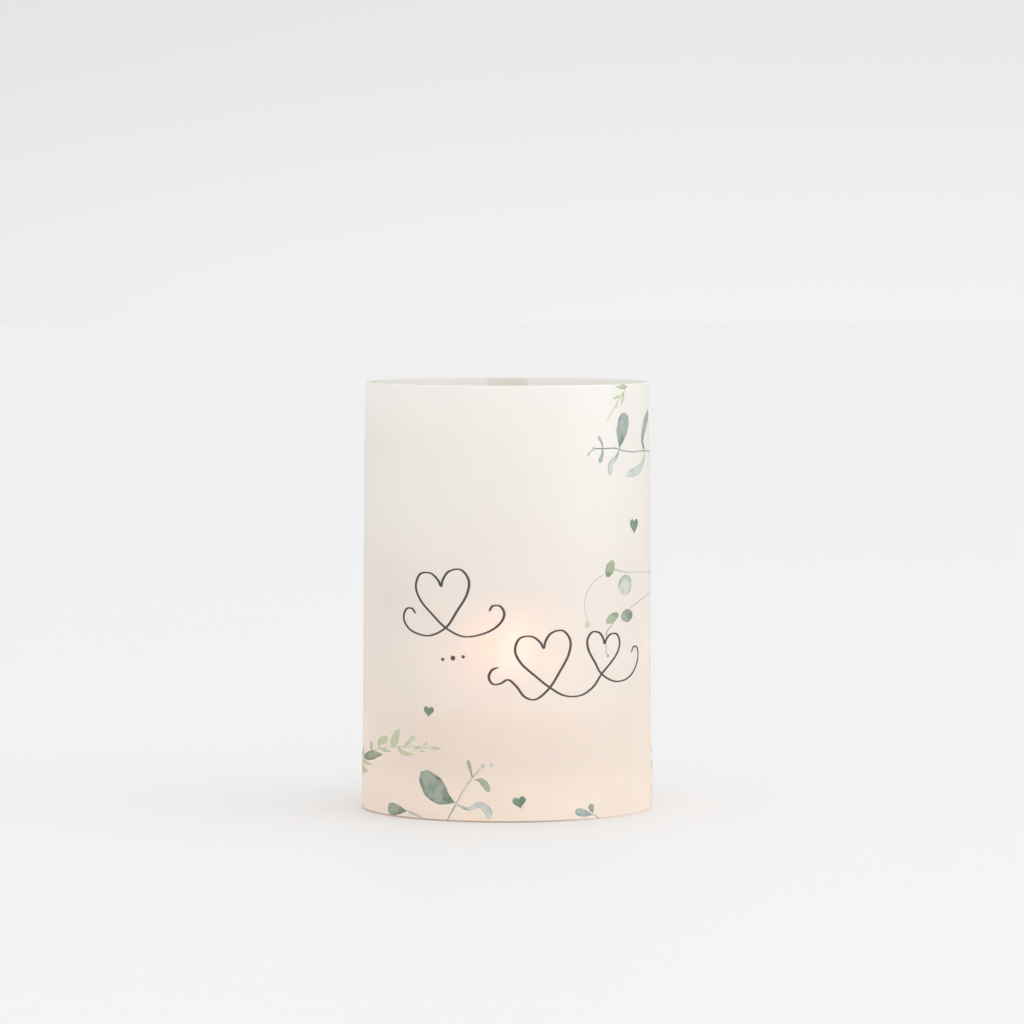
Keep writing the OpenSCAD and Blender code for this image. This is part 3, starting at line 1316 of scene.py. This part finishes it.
@dataclass
class Tealight:
    """The clear cup with its wax, wick, sustainer and flame."""

    body: str = "tealight"
    cup_wall: float = 0.4 * MM
    cup_corner: float = 1.6 * MM
    cup_step: float = 0.35 * MM
    bead: float = 0.55 * MM
    wax_corner: float = 1.3 * MM
    pool_radius: float = 20 * MM
    pool_depth: float = 0.9 * MM
    pool_drop: float = 0.25 * MM
    wick_radius: float = 1.1 * MM
    wick_bent: float = 5.5 * MM
    yarn_pitch: float = 3.6 * MM
    bend_radius: float = 9 * MM
    bend_above_pool: float = 2.5 * MM
    flame_tip: float = 66.6 * MM
    flame_foot: float = 37.6 * MM
    flame_radius: float = 5.0 * MM
    flame_lean: float = 1.8 * MM

    def cup(self, plastic: Finish) -> bpy.types.Object:
        """Builds the moulded cup, with a bead round its rim and a stacking step under its floor."""
        low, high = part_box("tealight_cup")
        radius, foot, top = high[0] - self.bead, low[2], high[2]
        corner = (radius - self.cup_corner, foot + self.cup_corner)
        rise = top - 2.2 * self.bead - corner[1]
        wall = [corner[1] + rise * t / 10 for t in range(1, 11)]
        floor = [(0.0, foot + self.cup_step), (radius * 0.45, foot + self.cup_step),
                 (radius * 0.5, foot), (radius * 0.75, foot)]
        outline = floor + arc(corner, self.cup_corner, -90, 0, 8)
        outline += [(radius, height) for height in wall]
        outline += arc((radius, top - self.bead), self.bead, -70, 180, 14)
        outline += [(radius - self.cup_wall, height) for height in reversed(wall[:-1])]
        outline += arc(corner, self.cup_corner - self.cup_wall, 0, -90, 8)
        outline += [(out, height + self.cup_wall) for out, height in reversed(floor)]
        return revolved("clear_cup", outline, plastic.material(), segments=160)

    def wax_body(self, wax: Finish) -> bpy.types.Object:
        """Builds the wax with a melted hollow and a skin that creeps up the wall."""
        low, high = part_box("wax")
        radius, foot, top = high[0], low[2], high[2]
        floor = top - self.pool_depth
        corner = (radius - self.wax_corner, foot + self.wax_corner)
        outline = [(0.0, foot)] + arc(corner, self.wax_corner, -90, 0, 6)
        outline += about((radius, top), (0, -1), (0, 0.25), (-0.3, 0.12), (-1, 0))
        outline += about((self.pool_radius, top), (1.5, 0), (0.5, -0.1))
        outline += arc((self.pool_radius - 1.6 * MM, floor + 1.4 * MM), 1.4 * MM, -10, -90, 6)
        outline += [(self.pool_radius * share, floor) for share in (0.6, 0.3, 0.0)]
        return revolved("wax_fill", outline, wax.material(), segments=144, crease=60)

    def pool(self, liquid: Finish) -> bpy.types.Object:
        """Builds the melted wax, with its skin drawn up where it meets the wax and the wick."""
        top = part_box("wax")[1][2]
        floor = top - self.pool_depth + 0.02 * MM
        level = top - self.pool_drop
        outline = [(0.0, floor), (self.pool_radius * 0.5, floor)]
        outline += arc((self.pool_radius - 1.65 * MM, floor + 1.35 * MM), 1.3 * MM, -88, -35, 5)
        outline += about((self.pool_radius, level), (-0.3, 0.12), (-0.9, 0.03))
        outline += [(self.pool_radius * share, level) for share in (0.9, 0.6, 0.3, 0.16)]
        outline += about((0.0, level), (2.2, 0.08), (1.5, 0.3), (0.9, 0.6), (0, 0.62))
        return revolved("melt_pool", outline, liquid.material(), segments=96, crease=60)

    def braid(self) -> Recipe:
        """Builds the tree of the wick: six yarns that cross over each other and bend together.

        Returns:
            The tree.
        """
        braid = Recipe("braid_yarns", Foot=float, Top=float, Core=float, Yarn=float, Pitch=float,
                       Bend_From=float, Bend_Radius=float, Cotton=bpy.types.Material)
        ends = {"Start": braid.join(0.0, 0.0, braid.input("Foot")),
                "End": braid.join(0.0, 0.0, braid.input("Top"))}
        line = braid.value("GeometryNodeCurvePrimitiveLine", ends)
        line = braid.value("GeometryNodeResampleCurve", {"Curve": line, "Count": 150})
        size = {"Resolution": 8, "Radius": braid.input("Yarn")}
        ring = braid.value("GeometryNodeCurvePrimitiveCircle", size)
        height = braid.position()[2]
        turn = braid.math("DIVIDE", braid.math("MULTIPLY", height, TURN), braid.input("Pitch"))
        bundle = braid.node("GeometryNodeJoinGeometry")
        for number in range(6):
            way = 1.0 if number % 2 else -1.0
            phase = TURN * (number // 2) / 3 + (TURN / 12 if number % 2 else 0.0)
            angle = braid.math("MULTIPLY_ADD", turn, way, phase)
            wave = braid.math("COSINE", braid.math("MULTIPLY", turn, 3.0))
            over = braid.math("ADD", braid.math("MULTIPLY", wave, 0.28 * way), 1.0)
            reach = braid.math("MULTIPLY", braid.input("Core"), over)
            offset = braid.join(braid.math("MULTIPLY", reach, braid.math("COSINE", angle)),
                                braid.math("MULTIPLY", reach, braid.math("SINE", angle)), 0.0)
            yarn = braid.value("GeometryNodeSetPosition", {"Geometry": line, "Offset": offset})
            feeds = {"Curve": yarn, "Profile Curve": ring, "Fill Caps": True}
            braid.tree.links.new(braid.value("GeometryNodeCurveToMesh", feeds), bundle.inputs[0])
        x, y, z = braid.position()
        bend = braid.input("Bend Radius")
        past = braid.math("MAXIMUM", braid.math("SUBTRACT", z, braid.input("Bend From")), 0.0)
        lean = braid.math("DIVIDE", past, bend)
        reach = braid.math("SUBTRACT", bend, x)
        bent_x = braid.math("SUBTRACT", bend, braid.math("MULTIPLY", reach, braid.math("COSINE", lean)))
        straight = braid.math("SUBTRACT", z, past)
        bent_z = braid.math("MULTIPLY_ADD", reach, braid.math("SINE", lean), straight)
        feeds = {"Geometry": bundle.outputs[0], "Position": braid.join(bent_x, y, bent_z)}
        braid.close(braid.value("GeometryNodeSetPosition", feeds), braid.input("Cotton"))
        return braid

    def wick(self, cotton: Finish) -> bpy.types.Object:
        """Builds the wick, which bends over the melted wax."""
        bend_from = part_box("wax")[1][2] - self.pool_depth + self.bend_above_pool
        wick = object_named("braided_wick", bpy.data.meshes.new("braided_wick"))
        self.braid().run(wick, Foot=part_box("wick")[0][2], Top=bend_from + self.wick_bent,
                         Core=0.62 * self.wick_radius, Yarn=0.34 * self.wick_radius, Pitch=self.yarn_pitch,
                         Bend_From=bend_from, Bend_Radius=self.bend_radius, Cotton=cotton.material())
        return baked(wick)

    def sustainer(self, plate: Finish) -> bpy.types.Object:
        """Builds the stamped disc, with a pressed ring and a neck that is crimped on the wick."""
        low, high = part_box("wick_sustainer")
        foot, top, radius = low[2], high[2], high[0]
        bore = self.wick_radius + 0.05 * MM
        neck = bore + 0.5 * MM
        outline = about((bore, foot), (0, 0.02))
        outline += about((radius, foot), (-0.2, 0), (0, 0.1), (0, 0.25), (-0.3, 0.32))
        outline += arc((radius * 0.7, foot + 0.2 * MM), 0.5 * MM, 30, 150, 6)
        outline += about((neck, foot), (0.8, 0.32), (0.1, 0.9), (0, 1.6), (-0.2, 2.6), (0, 3.6))
        outline += about((neck, top), (0.1, -0.2), (0, 0)) + about((bore, top), (0.1, 0), (0, -0.2))
        return revolved("sustainer_disc", outline + [outline[0]], plate.material(), segments=72, crease=50)

    def flame_layer(self, number: int, glow: Finish) -> bpy.types.Object:
        """Builds one nested layer of the flame, a tall drop that is widest below its middle.

        Args:
            number: 0 for the outer layer, and one more for each layer inwards.
            glow: the layer's finish.

        Returns:
            The new object.
        """
        radius = self.flame_radius * (1 - 0.3 * number)
        foot = self.flame_foot + 1.5 * MM * number
        tip = self.flame_tip - 4.5 * MM * number
        steps = 40
        outline = [(0.0, foot)]
        for i in range(1, steps):
            share = i / steps
            swell = math.sin(math.pi * share ** 0.72) ** 0.85 * (1 - 0.32 * share ** 2)
            outline.append((radius * swell, foot + (tip - foot) * share))
        outline.append((0.0, tip))
        layer = revolved(f"flame_layer_{number + 1}", outline, glow.material(), segments=64, crease=80)
        for vertex in layer.data.vertices:
            share = (vertex.co.z - self.flame_foot) / (self.flame_tip - self.flame_foot)
            vertex.co.x += self.flame_lean * min(1.0, max(0.0, share) * 2.2)
        return layer

    def build(self, plastic: Finish, wax: Finish, liquid: Finish, cotton: Finish, plate: Finish,
              glows: Sequence[Finish]) -> list[bpy.types.Object]:
        """Builds the whole tealight, of which only the wick and its sustainer throw a shadow.

        Args:
            plastic: finish of the cup.
            wax: finish of the solid wax.
            liquid: finish of the melted wax.
            cotton: finish of the wick.
            plate: finish of the sustainer.
            glows: finishes of the flame's layers, from the outer to the inner.

        Returns:
            The new pieces.
        """
        made = [(self.cup(plastic), plastic, "tealight_cup"), (self.wax_body(wax), wax, "wax"),
                (self.pool(liquid), liquid, None), (self.wick(cotton), cotton, "wick"),
                (self.sustainer(plate), plate, "wick_sustainer")]
        made += [(self.flame_layer(number, glow), glow, None) for number, glow in enumerate(glows)]
        for piece, finish, node in made:
            piece.visible_shadow = finish in (cotton, plate)
            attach(piece, self.body)
            if node:
                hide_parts(node)
        return [piece for piece, _, _ in made]


# ---------------------------------------------------------------------------
# Studio
# ---------------------------------------------------------------------------

@dataclass
class Studio:
    """Plain pale floor, soft light and the camera."""

    floor_radius: float = 9.0
    sky_low: Colour = (0.888, 0.888, 0.89)
    sky_high: Colour = (0.805, 0.805, 0.805)
    sky_over: Colour = (1.02, 1.02, 1.025)
    left_dim: float = 0.84
    panel_height: float = 0.9
    camera_distance: float = 1.581
    camera_height: float = 0.1815
    aim: tuple[float, float, float] = (0.0016, 0.0, 0.0943)
    lens: float = 174.2

    def floor(self) -> None:
        """Lays the floor."""
        mesh = bpy.data.meshes.new("studio_floor")
        form = bmesh.new()
        bmesh.ops.create_circle(form, cap_ends=True, radius=self.floor_radius, segments=96)
        form.to_mesh(mesh)
        form.free()
        mesh.materials.append(PaleSurface("pale_floor", "").material())
        object_named("studio_floor", mesh)

    def sky(self) -> None:
        """Sets a pale surround, a little darker above the horizon, bright overhead and dimmer at the left."""
        world = bpy.data.worlds.new("studio_surround")
        bpy.context.scene.world = world
        world.use_nodes = True
        world.node_tree.nodes.clear()
        graph = Graph(world.node_tree)
        right, _, up = graph.split(graph.node("ShaderNodeTexCoord").outputs["Generated"])
        tone = graph.blend(graph.ramp(up, -0.02, 0.06), self.sky_low, self.sky_high)
        tone = graph.blend(graph.ramp(up, 0.08, 0.3), tone, self.sky_over)
        side = graph.math("MULTIPLY_ADD", graph.ramp(right, -0.45, 0.05), 1.0 - self.left_dim, self.left_dim)
        tone = graph.value("ShaderNodeVectorMath", {0: tone, "Scale": side}, operation="SCALE")
        back = graph.value("ShaderNodeBackground", {"Color": tone, "Strength": 1.0})
        graph.node("ShaderNodeOutputWorld", {"Surface": back})

    def aimed(self, thing: bpy.types.Object, place: Vector, aim: Vector) -> None:
        """Puts a light or the camera at a place and turns it to face its aim."""
        thing.location = place
        thing.rotation_euler = (aim - place).to_track_quat("-Z", "Y").to_euler()

    def panel(self, name: str, place: Point2, aim: Point2, width: float, radiance: float) -> None:
        """Stands one soft white panel on the floor.

        Args:
            name: the light's name.
            place: where it stands.
            aim: the place on the floor that it faces.
            width: its width.
            radiance: how bright its face is.
        """
        light = bpy.data.lights.new(name, "AREA")
        light.shape = "RECTANGLE"
        light.size = width
        light.size_y = self.panel_height
        light.energy = radiance * math.pi * width * self.panel_height
        lamp = object_named(name, light)
        self.aimed(lamp, Vector((*place, self.panel_height / 2)), Vector((*aim, self.panel_height / 2)))
        lamp.visible_camera = False

    def glow(self, name: str, height: float, radius: float, watts: float, colour: Colour,
             spread: bool = False) -> None:
        """Sets a small warm light on the axis, which isn't seen itself.

        Args:
            name: the light's name.
            height: its height above the floor.
            radius: its radius.
            watts: its power.
            colour: its colour.
            spread: True where the paper may scatter it forwards into a halo.
        """
        light = bpy.data.lights.new(name, "POINT")
        light.shadow_soft_size = radius
        light.energy = watts
        light.color = colour
        light.cycles.use_multiple_importance_sampling = False
        lamp = object_named(name, light)
        lamp.location = (0.0, 0.0, height)
        lamp.visible_camera = False
        lamp.visible_glossy = False
        lamp.visible_transmission = spread
        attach(lamp, "tealight")

    def lamps(self) -> None:
        """Adds the light of the flame: its halo in the paper, the lit body and the warm foot."""
        self.glow("halo_glow", height=52 * MM, radius=8 * MM, watts=0.0052, colour=(1.0, 0.12, 0.0),
                  spread=True)
        self.glow("body_glow", height=45 * MM, radius=12 * MM, watts=0.018, colour=(1.0, 0.95, 0.70))
        self.glow("foot_glow", height=8 * MM, radius=9 * MM, watts=0.045, colour=(1.0, 0.44, 0.04))

    def camera(self) -> None:
        """Sets the camera."""
        data = bpy.data.cameras.new("camera")
        data.lens = self.lens
        data.sensor_width = 36.0
        data.clip_end = 50.0
        eye = object_named("camera", data)
        self.aimed(eye, Vector((self.aim[0], -self.camera_distance, self.camera_height)), Vector(self.aim))
        bpy.context.scene.camera = eye

    def build(self) -> None:
        """Builds the floor, the lights and the camera."""
        self.floor()
        self.sky()
        self.panel("front_panel", (0.0, -3.0), (0.0, 0.0), width=5.6, radiance=1.25)
        self.panel("right_panel", (3.0, -1.3), (0.0, -1.3), width=3.0, radiance=2.55)
        self.panel("left_panel", (-3.0, -1.3), (0.0, -1.3), width=3.0, radiance=0.4)
        self.lamps()
        self.camera()


def main() -> None:
    """Builds the lantern piece by piece."""
    logging.basicConfig(level=logging.INFO, format="%(name)s: %(message)s")
    bpy.context.scene.view_settings.view_transform = "Standard"
    Studio().build()
    sleeve = PaperSleeve()
    pieces = sleeve.build(Vellum("vellum", "vellum", height=sleeve.height), ClearFilm("seam_film", "tape"))
    pieces += SleevePrint(sleeve).build()
    pieces += GlassHolder().build(ClearGlass("clear_glass", "glass"))
    pieces += Tealight().build(
        ClearPlastic("clear_plastic", "cup_clear"), Wax("paraffin", "wax"),
        LiquidWax("liquid_wax", "melt_pool"), Cotton("wick_cotton", "wick_cotton"),
        Metal("tinplate", "sustainer_steel"),
        (FlameGlow("flame_veil", "flame", veil=0.85, strength=1.2), FlameGlow("flame_body", "flame")))
    for piece in pieces:
        LOG.info("%s: %d faces", piece.name, len(piece.data.polygons))


if __name__ == "__main__":
    main()
